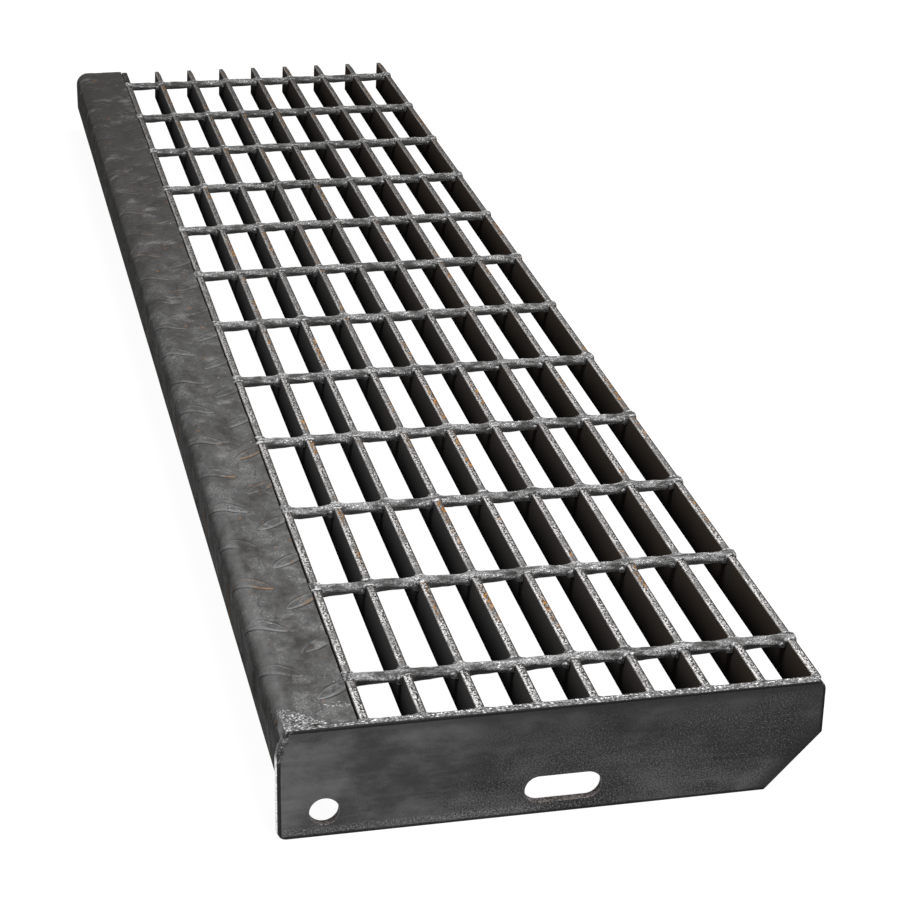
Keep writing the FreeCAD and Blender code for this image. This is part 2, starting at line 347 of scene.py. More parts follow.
def rod_mesh(low, high, lift):
    """A flat grid rolled up to a tube, then turned, dented and flattened station by station."""
    centre = (low + high) / 2
    stations = rod_stations(high.y)
    mesh = bmesh.new()
    bmesh.ops.create_grid(mesh, x_segments=rod_sides, y_segments=len(stations) - 1, size=0.5)
    for vert in mesh.verts:
        angle = 2 * math.pi * (vert.co.x + 0.5)
        y, turn = stations[round((vert.co.y + 0.5) * (len(stations) - 1))]
        radius = rod_radius * (1 - rod_squareness * math.cos(4 * angle))
        out = Vector((math.cos(angle - turn), 0, math.sin(angle - turn)))
        place = Vector((centre.x, y, centre.z)) + out * radius
        dent = hammering * noise.noise(place * hammer_scale)
        wave = waviness * noise.noise(Vector((centre.x, y, 0)) * wave_scale)
        share = seat_share(y)
        place += out * dent
        place.x += out.x * radius * share ** 2 * (web_near if out.x > 0 else web_far)
        place.z += (lift + wave) * (1 - share)
        highest = tread_top + seat_proud + (1 - share) * (high.z - low.z)
        vert.co = (place.x, y, min(place.z, highest, high.z))
    bmesh.ops.remove_doubles(mesh, verts=mesh.verts, dist=1e-6)
    bmesh.ops.holes_fill(mesh, edges=mesh.edges, sides=rod_sides)
    bmesh.ops.recalc_face_normals(mesh, faces=mesh.faces)
    return mesh


def rod_finish():
    finish = Finish("rod_forged_grey", specular=0.15)
    x = finish.axis(finish.place, "X")
    nearness = finish.step(x, bar_low.x, bar_high.x)
    last_rod = finish.step(x, rod_middles[-2], rod_middles[-1])
    # worn_and_lit: the upward-facing metal is rubbed shinier, and the underside is painted dark as shade
    # from the light above.
    worn_and_lit = finish.step(finish.axis(finish.normal, "Z"), -0.25, 0.60)
    clouds = finish.grain(210, detail=6, stretch=(1, 0.36, 1), rough=0.7)
    grain = finish.grain(850, detail=4, rough=0.7)
    # Painted light falloff: the rods are painted lighter towards the near end.
    light = finish.blend(nearness, (0.185, 0.183, 0.181), (0.290, 0.290, 0.290))
    colour = finish.blend(finish.step(clouds, 0.38, 0.58), (0.055, 0.054, 0.053), light)
    colour = finish.blend(0.65 * finish.step(1 - grain, 0.50, 0.62), colour, (0.022, 0.022, 0.022))
    shaded_underside_colour = finish.blend(last_rod, (0.078, 0.077, 0.076), (0.028, 0.028, 0.028))
    colour = finish.blend(worn_and_lit, shaded_underside_colour, colour)
    # Painted glints: white flecks on the upward-facing hammered metal.
    flecks = finish.step(grain, 0.56, 0.62) * finish.step(clouds, 0.46, 0.58)
    colour = finish.blend(flecks * worn_and_lit, colour, (0.80, 0.80, 0.80))
    relief = clouds + 0.5 * grain
    return finish.end(colour, 0.60 - 0.15 * worn_and_lit, 0.30 * worn_and_lit, finish.bump(relief, rod_relief))


rod_steel = rod_finish()
for name, box, lift in zip(rod_names, rod_boxes, rod_lifts):
    finished(f"{name}_looks", rod_mesh(*box, lift), rod_steel, "rod_steel", name, smooth=50)

# Flash at the crossings
# Where a rod was pressed into a bar, hot metal squeezed out on both sides of the rod and froze. On the
# near side it is a finger down the bar with a lump under the rod, on the far side a thin rim.
flash_near = 0.0037
flash_far = -0.0039
flash_drop = 0.0026
flash_thickness = 0.0010
flash_rim = 0.0009
flash_sides = 6
flash_steps = 12
flash_square = 0.55
flash_lumps = 0.35
flash_lump_scale = 700
flash_relief = 0.0006
finger_shift = 0.0004
finger_front_bend = (95, 150)
finger_back_bend = (60, 115)
rim_shift = 0.0003
rim_bend = (70, 110)
lump_ahead = 0.0032
lump_out = 0.0009
lump_below = 0.0033
lump_size = 0.0019
lump_length = 0.8
lump_width = 1.7
lump_bulge = 0.5
blob_lump_scale = 1.6
blob_variety = 900
chance_seed = 7
draw = random.Random(chance_seed)
# Blender seeds noise_vector from the clock at each start, so it is set here for the same shapes each run.
noise.seed_set(chance_seed)


def add_flash(mesh, x, y, thickness, front_bend, back_bend):
    """One finger round a bar's top, a rolled-up grid, thick where it hangs down the bar's front."""
    half_width = bar_thickness / 2 + 0.4 * thickness
    half_height = flash_drop + 0.2 * thickness
    grid = bmesh.ops.create_grid(mesh, x_segments=flash_sides, y_segments=flash_steps, size=0.5)["verts"]
    for vert in grid:
        around = 2 * math.pi * (vert.co.x + 0.5)
        angle = front_bend - (front_bend + back_bend) * (vert.co.y + 0.5)
        share = angle / front_bend if angle > 0 else -angle / back_bend
        sine, cosine = math.sin(angle), math.cos(angle)
        core = Vector((
            x,
            y - math.copysign(abs(sine) ** flash_square, sine) * half_width,
            tread_top - flash_drop + math.copysign(abs(cosine) ** flash_square, cosine) * half_height,
        ))
        swell = 0.8 + 0.9 * share if angle > 0 else 0.8 + 0.2 * share
        taper = max(0.2, swell * math.sqrt(max(0.0, 1 - share ** 4)))
        out = Vector((math.cos(around), -sine * math.sin(around), cosine * math.sin(around)))
        place = core + out * thickness * taper
        place += noise.noise_vector(place * flash_lump_scale) * flash_lumps * thickness
        vert.co = (place.x, min(place.y, cad_box[1].y), min(place.z, cad_box[1].z))


def flash_finish():
    finish = Finish("flash_metal", specular=0.2)
    clouds = finish.grain(500, detail=3)
    # The upward-facing flash is painted lighter, partly rubbed bright and partly painted light from above.
    worn_and_lit = finish.step(finish.axis(finish.normal, "Z"), 0.1, 0.8)
    light = finish.blend(worn_and_lit, (0.13, 0.13, 0.13), (0.40, 0.40, 0.40))
    colour = finish.blend(finish.step(clouds, 0.35, 0.65), (0.04, 0.04, 0.04), light)
    return finish.end(colour, 0.45 + 0.15 * clouds, 0.2 + 0.4 * worn_and_lit, finish.bump(clouds, flash_relief))


def add_blob(mesh, place, half_length, half_width, rise, lumps):
    """A lumpy squashed ball, half sunk in the metal around it."""
    ball = bmesh.ops.create_icosphere(mesh, subdivisions=2, radius=1.0)["verts"]
    for vert in ball:
        bulge = 1 + lumps * noise.noise(vert.co * blob_lump_scale + place * blob_variety)
        shape = Vector((vert.co.x * half_length, vert.co.y * half_width, vert.co.z * rise))
        vert.co = place + shape * bulge


def drawn_bend(low, high):
    """A bend in radians, drawn between two angles in degrees."""
    return math.radians(draw.uniform(low, high))


flash_metal = flash_finish()
flash_mesh = bmesh.new()
for rod_x in rod_middles:
    for bar_y in bar_middles:
        finger_x = rod_x + flash_near + draw.uniform(-finger_shift, finger_shift)
        finger = flash_thickness * draw.uniform(0.8, 1.3)
        add_flash(flash_mesh, finger_x, bar_y, finger,
                  drawn_bend(*finger_front_bend), drawn_bend(*finger_back_bend))
        rim_x = rod_x + flash_far + draw.uniform(-rim_shift, rim_shift)
        rim = flash_rim * draw.uniform(0.7, 1.2)
        add_flash(flash_mesh, rim_x, bar_y, rim, drawn_bend(*rim_bend), drawn_bend(*rim_bend))
        lump = Vector((rod_x + lump_ahead, bar_y - bar_thickness / 2 - lump_out, tread_top - lump_below))
        size = lump_size * draw.uniform(0.8, 1.15)
        rise = size * draw.uniform(0.9, 1.4)
        add_blob(flash_mesh, lump, lump_length * size, lump_width * size, rise, lump_bulge)
bmesh.ops.remove_doubles(flash_mesh, verts=flash_mesh.verts, dist=1e-6)
bmesh.ops.holes_fill(flash_mesh, edges=flash_mesh.edges, sides=flash_sides)
bmesh.ops.recalc_face_normals(flash_mesh, faces=flash_mesh.faces)
finished("crossing_flash", flash_mesh, flash_metal, "weld_metal", smooth=70)

# Nosing
# Checkered plate of hot-rolled steel, folded to an angle along the front of the tread. Its skin is a dark
# mottled mill scale, painted lighter towards the near end, darker on the front and lighter on the bend as
# light and shade, and the raised lens lugs of the plate run on round the bend and down the front, with
# lit flanks and shaded outlines painted on them.
nosing_low, nosing_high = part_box("nosing")
nosing_thickness = 0.00476
nosing_bend = 0.0105
nosing_gap_near = 0.0011
nosing_gap_far = 0.0004
nosing_edge = 0.0005
nosing_steps = 90
nosing_waviness = 0.00008
nosing_wave_scale = 18
nosing_calm = 0.06
nosing_relief = 0.0005
bend_segments = 10
bend_steepest = 0.995
bend_light = (0.20, 0.45)
lug_pitch = 0.0498
lug_length = 0.0270
lug_breadth = 0.0085
lug_lean = math.radians(50)
lug_first = 0.0332
lug_inset = 0.0071
lug_row_spacing = 0.0240
lug_front_drop = 0.0209
lug_sink = 0.0001
lug_skirt = 0.74
lug_skim = 0.00006
lug_far = 0.3
lug_near = 0.6
lug_run_out = 0.012
lug_columns = 18
lug_rows = 12
lug_crowding = 1.6
ground_slope = 0.95
ground_start = 0.7111
ground_fade = 0.0012
lug_height = nosing_high.z - tread_top
front = nosing_low.y + lug_height
bar_front = bar_low.y
bend_y = front + nosing_bend
bend_z = tread_top - nosing_bend
nosing_length = nosing_high.x - nosing_low.x


def lip_y(x):
    """The edge of the top leg, in a gap that closes towards the far end."""
    share = (x - nosing_low.x) / nosing_length
    return bar_front - nosing_gap_far - (nosing_gap_near - nosing_gap_far) * share


def skin(y):
    """Height and outward direction of the folded skin, seen from above."""
    if y > bend_y:
        return tread_top, Vector((0, 0, 1))
    back = min(bend_y - y, bend_steepest * nosing_bend)
    rise = math.sqrt(nosing_bend ** 2 - back ** 2)
    return bend_z + rise, Vector((0, -back, rise)) / nosing_bend


def draw_out(mesh, edges):
    """Extrude a row of edges, and give the new verts and the new row."""
    drawn = bmesh.ops.extrude_edge_only(mesh, edges=edges)["geom"]
    moved = [g for g in drawn if isinstance(g, bmesh.types.BMVert)]
    row = [g for g in drawn if isinstance(g, bmesh.types.BMEdge) and all(v in moved for v in g.verts)]
    return moved, row


def folded_sheet():
    """The angle's outer line drawn out along the tread, then thickened, rounded and made a little wavy."""
    mesh = bmesh.new()
    foot, fold, lip = [mesh.verts.new(place) for place in (
        (nosing_low.x, front, nosing_low.z),
        (nosing_low.x, front, tread_top),
        (nosing_low.x, bar_front, tread_top),
    )]
    mesh.edges.new((foot, fold))
    mesh.edges.new((fold, lip))
    bmesh.ops.bevel(mesh, geom=[fold], offset=nosing_bend, affect="VERTICES",
                    segments=bend_segments, profile=0.5, material=-1)
    edges = list(mesh.edges)
    for step in range(nosing_steps):
        moved, edges = draw_out(mesh, edges)
        bmesh.ops.translate(mesh, verts=moved, vec=(nosing_length / nosing_steps, 0, 0))
    bmesh.ops.recalc_face_normals(mesh, faces=mesh.faces)
    if sum((face.normal.z - face.normal.y) for face in mesh.faces) < 0:
        bmesh.ops.reverse_faces(mesh, faces=mesh.faces)
    for vert in mesh.verts:
        if vert.co.y > bar_front - nosing_gap_near:
            vert.co.y = lip_y(vert.co.x)
    bmesh.ops.solidify(mesh, geom=mesh.faces[:], thickness=nosing_thickness)
    bmesh.ops.recalc_face_normals(mesh, faces=mesh.faces)
    sharp = [e for e in mesh.edges if e.is_manifold and e.calc_face_angle() > math.radians(60)]
    bmesh.ops.bevel(mesh, geom=sharp, offset=nosing_edge, affect="EDGES",
                    segments=2, profile=0.5, material=-1, clamp_overlap=True)
    for vert in mesh.verts:
        calm = min(1.0, (nosing_high.x - vert.co.x) / nosing_calm)
        wave = noise.noise_vector(vert.co * nosing_wave_scale) * nosing_waviness * calm
        vert.co.y += wave.y
        vert.co.z += wave.z
    return mesh


def add_lug(mesh, rim, x, across, lean, on_front):
    """A low lens-shaped dome in a thin skirt, turned from the tread's length and cut off at its ends."""
    half = lug_length / lug_skirt ** 0.25 / 2
    sag = lug_breadth / lug_skirt / 2
    radius = (half ** 2 + sag ** 2) / (2 * sag)
    grid = bmesh.ops.create_grid(mesh, x_segments=lug_columns, y_segments=lug_rows, size=1.0)["verts"]
    for vert in grid:
        s, t = (math.copysign(1 - (1 - abs(share)) ** lug_crowding, share) for share in vert.co.xy)
        along = s * half
        side = t * (math.sqrt(radius ** 2 - along ** 2) - radius + sag)
        place_x = x + along * math.cos(lean) - side * math.sin(lean)
        place_x = min(max(place_x, nosing_low.x), nosing_high.x)
        shift = along * math.sin(lean) + side * math.cos(lean)
        height = lug_height * (lug_far + (lug_near - lug_far) * (place_x - nosing_low.x) / nosing_length)
        height *= min(1.0, (place_x - nosing_low.x) / lug_run_out)
        edge = max(abs(t), abs(s) ** 4)
        rise = height * max(0.0, 1 - (edge / lug_skirt) ** 4) + (lug_skim if edge < 0.99 else -lug_sink)
        vert[rim] = edge
        if on_front:
            angle = max(0.0, across + shift - bend_z) / nosing_bend
            out = Vector((0, -math.cos(angle), math.sin(angle)))
            level = max(min(across + shift, bend_z), nosing_low.z)
            vert.co = Vector((place_x, bend_y, level)) + out * (nosing_bend + rise)
        else:
            place_y = min(across + shift, lip_y(place_x))
            level, out = skin(place_y)
            place_y = max(place_y, front + (1 - bend_steepest) * nosing_bend)
            vert.co = Vector((place_x, place_y, level)) + out * rise


def nosing_finish():
    finish = Finish("nosing_mill_scale", specular=0.03)
    x, y = finish.axis(finish.place, "X"), finish.axis(finish.place, "Y")
    facing_up = finish.step(finish.axis(finish.normal, "Z"), 0.55, 0.85)
    facing_front = 1 - finish.step(finish.axis(finish.normal, "Y"), -0.98, -0.80)
    nearness = finish.step(x, nosing_low.x, 0.7 * nosing_high.x)
    clouds = finish.grain(48, detail=8, stretch=(0.7, 1, 1), rough=0.72)
    bands = finish.grain(75, detail=6, stretch=(0.9, 0.7, 1), rough=0.7)
    swirls = finish.grain(60, detail=2, stretch=(0.8, 1, 1))
    grain = finish.grain(850, detail=4, rough=0.7)
    # Painted light falloff: the mill scale is painted lighter towards the near end.
    light = finish.blend(nearness, (0.047, 0.044, 0.042), (0.140, 0.139, 0.138))
    colour = finish.blend(finish.step(clouds, 0.30, 0.70), (0.036, 0.034, 0.033), light)
    colour = finish.blend(0.6 * finish.step(bands, 0.54, 0.70), colour, (0.215, 0.212, 0.209))
    creases = finish.band(swirls, 0.492, 0.508, 0.008) + finish.band(bands, 0.495, 0.505, 0.008)
    colour = finish.blend(0.4 * creases * finish.step(clouds, 0.44, 0.56), colour, (0.020, 0.020, 0.020))
    flecks = finish.step(grain, 0.57, 0.66) * finish.step(clouds, 0.50, 0.60)
    colour = finish.blend(0.7 * flecks * nearness, colour, (0.42, 0.42, 0.42))
    colour = finish.blend(0.35 * finish.step(1 - grain, 0.50, 0.64), colour, (0.022, 0.022, 0.022))
    edge = finish.add("ShaderNodeAttribute", {"attribute_name": "rim"}, None, "Fac")
    facing_near = finish.axis(finish.normal, "X")
    lit_flank = finish.band(edge, 0.45, 0.72, 0.12) * (0.35 + 0.65 * finish.step(facing_near, 0.05, 0.25))
    broken = (0.5 + 0.5 * nearness) * finish.step(clouds, 0.36, 0.52)
    rusty = finish.step(finish.grain(25, detail=1), 0.60, 0.66) * nearness
    lit_colour = finish.blend(rusty, (0.27, 0.27, 0.27), (0.36, 0.20, 0.080))
    colour = finish.blend(0.45 * broken * lit_flank, colour, lit_colour)
    shaded = finish.band(edge, 0.78, 0.94, 0.05)
    colour = finish.blend(0.70 * broken * shaded, colour, (0.012, 0.012, 0.012))
    spots = finish.step(finish.grain(160, detail=2), 0.70, 0.76)
    colour = finish.blend(0.7 * spots, colour, (0.22, 0.105, 0.040))
    # Painted shade: the front face, turned away from the light, is painted darker.
    colour = finish.blend(0.12 * facing_front, colour, (0.012, 0.011, 0.010))
    # Painted highlight: a lighter band where the bend turns towards the light, at the near end.
    facing_out = -1 * finish.axis(finish.normal, "Y")
    on_bend = finish.band(facing_out, 0.40, 0.60, 0.38) * finish.step(x, *bend_light)
    colour = finish.blend(0.20 * on_bend, colour, (0.30, 0.30, 0.30))
    ragged = 0.012 * (finish.grain(160, detail=4) - 0.5)
    ground = facing_up * finish.step(x - ground_slope * y - ground_start + ragged, 0.0, ground_fade)
    colour = finish.blend(ground, colour, finish.ground())
    relief = 0.6 * grain + 2.0 * clouds + 0.8 * bands + 1.5 * ground * grain
    return finish.end(colour, 0.60 + 0.25 * facing_front - 0.15 * ground, 0.05 + 0.5 * ground,
                      finish.bump(relief, nosing_relief))


nosing_mesh = folded_sheet()
lug_rim = nosing_mesh.verts.layers.float.new("rim")
for number in range(int(nosing_length / lug_pitch) + 1):
    lug_x = nosing_high.x - lug_first - number * lug_pitch
    back_row = bar_front - lug_inset
    add_lug(nosing_mesh, lug_rim, lug_x, back_row, -lug_lean, False)
    add_lug(nosing_mesh, lug_rim, lug_x + lug_pitch / 2, back_row - lug_row_spacing, lug_lean, False)
    add_lug(nosing_mesh, lug_rim, lug_x, tread_top - lug_front_drop, -lug_lean, True)
finished("nosing_looks", nosing_mesh, nosing_finish(), "nosing_steel", "nosing", smooth=40)

# End plate
# A flat bar across the near ends of the bars, punched with a round hole and a slot for its bolts. It has
# a smooth dark mill scale, dusty towards its foot, and its top was ground bright behind the front arris.
# Thin lines along its arrises and the corner by the chamfer are painted dark as shade.
plate_low, plate_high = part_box("end_plate")
plate_edge = 0.0009
plate_relief = 0.0003
hole_rows = (0.004, 0.026)
hole_front = plate_low.y + 0.010
hole_back = plate_high.y - 0.035
trim_back = 0.0049
trim_drop = 0.0153
chamfer_run = 0.0300
chamfer_rise = 0.0325
dust_top = 0.038
foot_marks = (0.0050, 0.0070)
foot_marks_end = (-0.03, 0.06)
scorch_depth = 0.0060
foot_line = (0.0010, 0.0018)
chewed_reach = (0.005, 0.009)
chewed_rows = (0.040, 0.052)
ground_setback = (0.0004, 0.0014)


def outer_edge(middle):
    """True for the plate's outline, false for the rims of its hole and slot."""
    inside = hole_front < middle.y < hole_back
    return not (inside and hole_rows[0] < middle.z < hole_rows[1])


def plate_finish():
    finish = Finish("plate_mill_scale", specular=0.12)
    y, height = finish.axis(finish.place, "Y"), finish.axis(finish.place, "Z")
    facing = finish.axis(finish.normal, "X")
    cut_edge = 1 - finish.step(facing * facing, 0.60, 0.90)
    smears = finish.grain(34, detail=6, stretch=(1, 0.55, 1), rough=0.65)
    streaks = finish.grain(330, detail=4, stretch=(1, 0.06, 1), rough=0.6)
    haze = finish.grain(19, detail=3, stretch=(1, 0.6, 1))
    grain = finish.grain(1100, detail=3, rough=0.7)
    chips = finish.grain(420, detail=6, rough=0.8)
    left_side = 1 - finish.step(y, -0.11, 0.0)
    smeared_colour = finish.blend(left_side, (0.112, 0.112, 0.115), (0.190, 0.190, 0.194))
    scale_colour = finish.blend(left_side, (0.030, 0.030, 0.031), (0.060, 0.060, 0.061))
    colour = finish.blend(finish.step(smears, 0.34, 0.66), scale_colour, smeared_colour)
    colour = finish.blend(0.4 * finish.step(streaks, 0.50, 0.66), colour, (0.110, 0.110, 0.113))
    sooty = (0.6 - 0.35 * left_side) * finish.step(haze, 0.47, 0.64)
    colour = finish.blend(sooty, colour, (0.026, 0.026, 0.026))
    dusty = 0.10 + 0.90 * finish.step(haze + 6 * (dust_top - height) - 0.20 * left_side, 0.42, 0.66)
    colour = finish.blend(0.70 * dusty * finish.step(grain, 0.52, 0.66), colour, (0.190, 0.190, 0.190))
    colour = finish.blend(0.75 * dusty * finish.step(1 - grain, 0.50, 0.64), colour, (0.008, 0.008, 0.008))
    # Painted shade: the plate is painted darker towards the chamfer at its back foot.
    from_chamfer = (plate_high.y - y) * (1 / chamfer_run) + height * (1 / chamfer_rise)
    colour = finish.blend(0.75 - 0.75 * finish.step(from_chamfer, 1.05, 1.60), colour, (0.010, 0.010, 0.010))
    wander = 0.004 * finish.grain(90, detail=4)
    foot = finish.band(height + wander, *foot_marks, 0.002) * (1 - finish.step(y, *foot_marks_end))
    colour = finish.blend(0.9 * foot * finish.step(grain, 0.50, 0.62), colour, (0.30, 0.30, 0.295))
    scorch_rows = (tread_top - scorch_depth, tread_top)
    scorch = finish.step(height + wander, *scorch_rows) * finish.step(smears, 0.40, 0.56)
    colour = finish.blend(0.5 * scorch, colour, (0.012, 0.012, 0.012))
    # Painted shade: thin near-black lines along the top, front, back and bottom arrises.
    lines = finish.step(height + 0.0012 * (chips - 0.5), tread_top - 0.0019, tread_top - 0.0014)
    beside_front = finish.band(y + 0.2 * wander, plate_low.y + 0.0013, plate_low.y + 0.0027, 0.0004)
    lines = lines + beside_front * (1 - finish.step(height, tread_top - 0.020, tread_top - 0.014))
    lines = lines + finish.step(y - 0.2 * wander, plate_high.y - 0.0026, plate_high.y - 0.0018)
    lower_line = 1 - finish.step(height - 0.3 * wander, *foot_line)
    colour = finish.blend(0.9 * lines + 0.85 * lower_line, colour, (0.005, 0.005, 0.005))
    from_trim = y - plate_low.y - trim_back + (tread_top - height) * (trim_back / trim_drop)
    chewed = (1 - finish.step(from_trim + 2 * wander, *chewed_reach)) * finish.step(height, *chewed_rows)
    chewed_colour = finish.blend(finish.step(chips, 0.48, 0.62), (0.012, 0.012, 0.012), (0.40, 0.40, 0.40))
    colour = finish.blend(0.85 * chewed, colour, chewed_colour)
    bare = finish.blend(finish.step(grain, 0.40, 0.60), (0.50, 0.50, 0.50), (0.95, 0.95, 0.95))
    in_hole = finish.band(height, *hole_rows, 0.001) * finish.step(y, hole_front - 0.002, hole_front)
    in_hole = in_hole * (1 - finish.step(y, hole_back - 0.001, hole_back + 0.001))
    wall_colour = finish.blend(finish.step(grain, 0.44, 0.60), (0.045, 0.034, 0.030), (0.24, 0.23, 0.225))
    bare = finish.blend(in_hole, bare, wall_colour)
    below_trim = 1 - finish.step(height + wander, tread_top - 0.0150, tread_top - 0.0100)
    at_front = 1 - finish.step(y, plate_low.y + 0.006, plate_low.y + 0.008)
    bared = cut_edge * below_trim * (1 - lower_line) * (at_front + in_hole)
    colour = finish.blend(0.8 * cut_edge * (1 - at_front) * (1 - in_hole), colour, (0.012, 0.012, 0.012))
    colour = finish.blend(bared, colour, bare)
    below_ground = 1 - finish.step(height, tread_top - 0.0016, tread_top - 0.0012)
    above_trim = cut_edge * (1 - below_trim) * below_ground
    rough_colour = finish.blend(finish.step(chips, 0.46, 0.62), (0.014, 0.014, 0.014), (0.30, 0.30, 0.30))
    colour = finish.blend(above_trim, colour, rough_colour)
    ground = finish.step(height, tread_top - 0.0004, tread_top - 0.0002)
    inward = plate_high.x - finish.axis(finish.place, "X") + 0.003 * (haze - 0.5)
    ground = ground * finish.step(inward, *ground_setback)
    colour = finish.blend(ground, colour, finish.ground())
    relief = 0.6 * grain + 1.5 * smears
    polished = bared * (1 - in_hole)
    return finish.end(colour, 0.55 - 0.15 * ground - 0.2 * polished, 0.08 + 0.4 * ground + 0.8 * polished,
                      finish.bump(relief, plate_relief))


plate_mesh = softened_copy("end_plate", plate_edge, 3, outer_edge)
finished("end_plate_looks", plate_mesh, plate_finish(), "plate_steel", "end_plate")

# Welds at the bar ends
# Each bar is welded to the end plate by fillets down its sides, and a bead runs along the plate's inner
# top edge from bar to bar. The bead was ground almost flush; the fillets keep their dark rippled skin.
fillet_leg = 0.0030
fillet_run = 0.0180
fillet_steps = 9
fillet_run_out = 0.8
fillet_ripple = (0.91, 1.10)
bead_sides = 8
bead_step = 0.0013
bead_rise = 0.0006
bead_thin = 0.0010
bead_wide = 0.0030
bead_spread = 0.0036
bead_shift = 0.0002
bead_sunk = 0.4
bead_end = 0.001
bead_ring = 0.001
bead_width_change = 0.35
bead_width_scale = 260
bead_rise_change = 0.5
bead_rise_scale = 500
weld_relief = 0.0005
plate_face = plate_low.x


def add_fillet(mesh, side_y, outward):
    """A bumpy three-cornered strip down one side of a bar, running out to nothing at its foot."""
    corners = ((0, 0), (-1, 0), (-0.55, 0.55), (0, 1))
    level = tread_top - bead_rise
    ring = [mesh.verts.new((plate_face + a * fillet_leg, side_y + outward * b * fillet_leg, level))
            for a, b in corners]
    edges = [mesh.edges.new((a, b)) for a, b in zip(ring, ring[1:] + ring[:1])]
    bmesh.ops.contextual_create(mesh, geom=edges)
    root = Vector((plate_face, side_y, 0))
    for step in range(fillet_steps):
        moved, edges = draw_out(mesh, edges)
        left, before = (1 - fillet_run_out * (s / fillet_steps) ** 3 for s in (step + 1, step))
        ripple = left / before * fillet_ripple[step % 2]
        for vert in moved:
            vert.co.x = root.x + (vert.co.x - root.x) * ripple
            vert.co.y = root.y + (vert.co.y - root.y) * ripple
            vert.co.z -= fillet_run / fillet_steps
    bmesh.ops.contextual_create(mesh, geom=edges)


def add_top_bead(mesh, start_y, end_y):
    """A low bead along the plate's inner top edge, wider at each bar."""
    ring = bmesh.ops.create_circle(mesh, segments=bead_sides, radius=1.0)["verts"]
    stand = Matrix.Translation((plate_face, start_y, tread_top)) @ Matrix.Rotation(math.pi / 2, 4, "X")
    bmesh.ops.transform(mesh, matrix=stand @ Matrix.Scale(bead_ring, 4), verts=ring)
    edges = list({edge for vert in ring for edge in vert.link_edges})
    caps = [edges]
    made = list(ring)
    for step in range(int((end_y - start_y) / bead_step)):
        moved, edges = draw_out(mesh, edges)
        bmesh.ops.translate(mesh, verts=moved, vec=(0, bead_step, 0))
        made += moved
    caps.append(edges)
    for cap in caps:
        bmesh.ops.contextual_create(mesh, geom=cap)
    for vert in made:
        nearest = min(abs(vert.co.y - middle) for middle in bar_middles)
        share = math.exp(-(nearest / bead_spread) ** 2)
        reach = bead_thin + (bead_wide - bead_thin) * share
        reach *= 1 + bead_width_change * noise.noise(Vector((0, vert.co.y * bead_width_scale, 0)))
        rise = bead_rise * (1 + bead_rise_change * noise.noise(vert.co * bead_rise_scale))
        out = (vert.co - Vector((plate_face, vert.co.y, tread_top))) / bead_ring
        vert.co.x = plate_face + bead_shift + out.x * reach
        vert.co.z = tread_top - bead_sunk * bead_rise + out.z * rise


def weld_finish():
    finish = Finish("weld_metal_ground_on_top", specular=0.2)
    facing_up = finish.step(finish.axis(finish.normal, "Z"), 0.45, 0.85)
    clouds = finish.grain(120, detail=3)
    grain = finish.grain(620, detail=3, rough=0.6)
    skin_colour = finish.blend(finish.step(clouds, 0.30, 0.70), (0.040, 0.040, 0.040), (0.100, 0.100, 0.102))
    colour = finish.blend(facing_up, skin_colour, finish.ground())
    relief = 0.3 * grain + facing_up * grain
    return finish.end(colour, 0.48 - 0.1 * facing_up, 0.15 + 0.45 * facing_up,
                      finish.bump(relief, weld_relief))


weld_metal = weld_finish()
end_welds = bmesh.new()
for box, next_box in zip(bar_boxes, bar_boxes[1:]):
    add_fillet(end_welds, box[1].y, 1)
    add_fillet(end_welds, next_box[0].y, -1)
add_top_bead(end_welds, bar_front - bead_end, bar_boxes[-1][1].y - bead_end)
bmesh.ops.recalc_face_normals(end_welds, faces=end_welds.faces)
finished("bar_end_welds_looks", end_welds, weld_metal, "weld_metal", "bar_end_welds", smooth=60)

# Corner weld
# Weld metal fills the hollow between the nosing's bend and the square corner of the plate. It was ground
# level with the top, which leaves a ridge, and goes on as a smooth bead down the front of the seam.
corner_top_run = 0.00575
corner_ridge = 0.0030
corner_rise = 0.0018
corner_foot = 0.0300
corner_fill = 0.0240
corner_half = 0.0048
corner_lap = 0.0012
corner_sink = 0.0002
corner_skim = 0.00006
corner_thins_at = 0.8
corner_thins_drop = 0.75
corner_columns = 24
corner_rows = 48
corner_lumps = 0.0001
corner_lump_scale = 400


def along_fold(distance):
    """Place and outward direction on the folded skin, from the top leg towards the foot."""
    arc = nosing_bend * math.pi / 2
    if distance < corner_top_run:
        return Vector((0, bend_y + corner_top_run - distance, tread_top)), Vector((0, 0, 1))
    if distance < corner_top_run + arc:
        angle = (distance - corner_top_run) / nosing_bend
        out = Vector((0, -math.sin(angle), math.cos(angle)))
        return Vector((0, bend_y, bend_z)) + out * nosing_bend, out
    return Vector((0, front, bend_z - (distance - corner_top_run - arc))), Vector((0, -1, 0))


def along_weld(distance, stops):
    """Place on the filled corner at a distance along the skin, straight between its stops."""
    for (start, first), (end, second) in zip(stops, stops[1:]):
        if distance <= end:
            return first.lerp(second, (distance - start) / (end - start))
    return stops[-1][1]


def eased(share):
    """0 to 1 with a smooth start and end."""
    share = min(1.0, max(0.0, share))
    return share * share * (3 - 2 * share)


